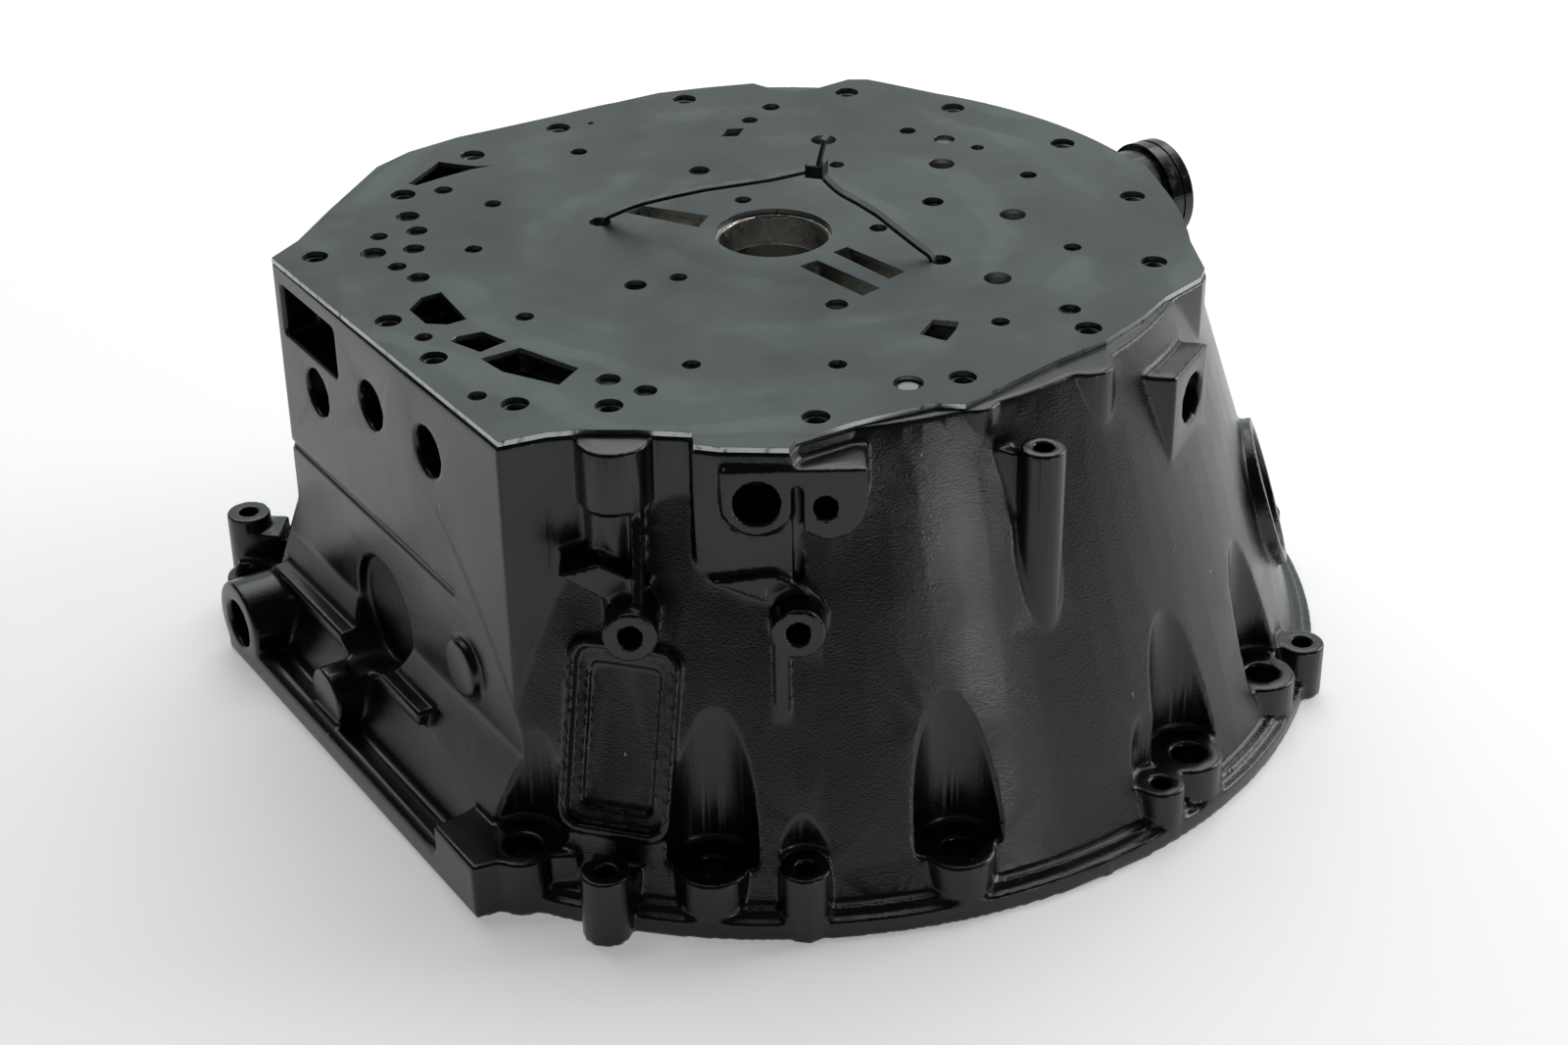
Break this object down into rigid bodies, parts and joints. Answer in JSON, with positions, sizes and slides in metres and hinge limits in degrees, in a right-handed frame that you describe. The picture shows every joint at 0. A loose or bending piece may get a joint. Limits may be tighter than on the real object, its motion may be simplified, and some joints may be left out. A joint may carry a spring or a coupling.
{
  "type": "gearbox bell housing",
  "caption": "Cast conical bell housing of an automatic gearbox, flange down, with a drilled steel separator plate held on its deck by a cable tie.",
  "frame": {"origin": "centre of the engine face, on the axis of the centre bore", "axes": "+Z from the engine face to the gearbox face; the flat pan side faces -X"},
  "size_m": [0.4035, 0.4199, 0.2097],
  "materials": {
    "painted_casting": "die-cast aluminium, sprayed gloss black",
    "plate_steel": "oiled cold-rolled steel sheet, satin",
    "pin_steel": "ground steel",
    "tie_nylon": "moulded black nylon",
    "cap_plastic": "moulded black plastic"
  },
  "bodies": {
    "root": {"bell_housing": "painted_casting", "separator_plate": "plate_steel", "locating_pins": "pin_steel", "cable_tie": "tie_nylon", "shaft_cap": "cap_plastic"}
  },
  "joints": []
}
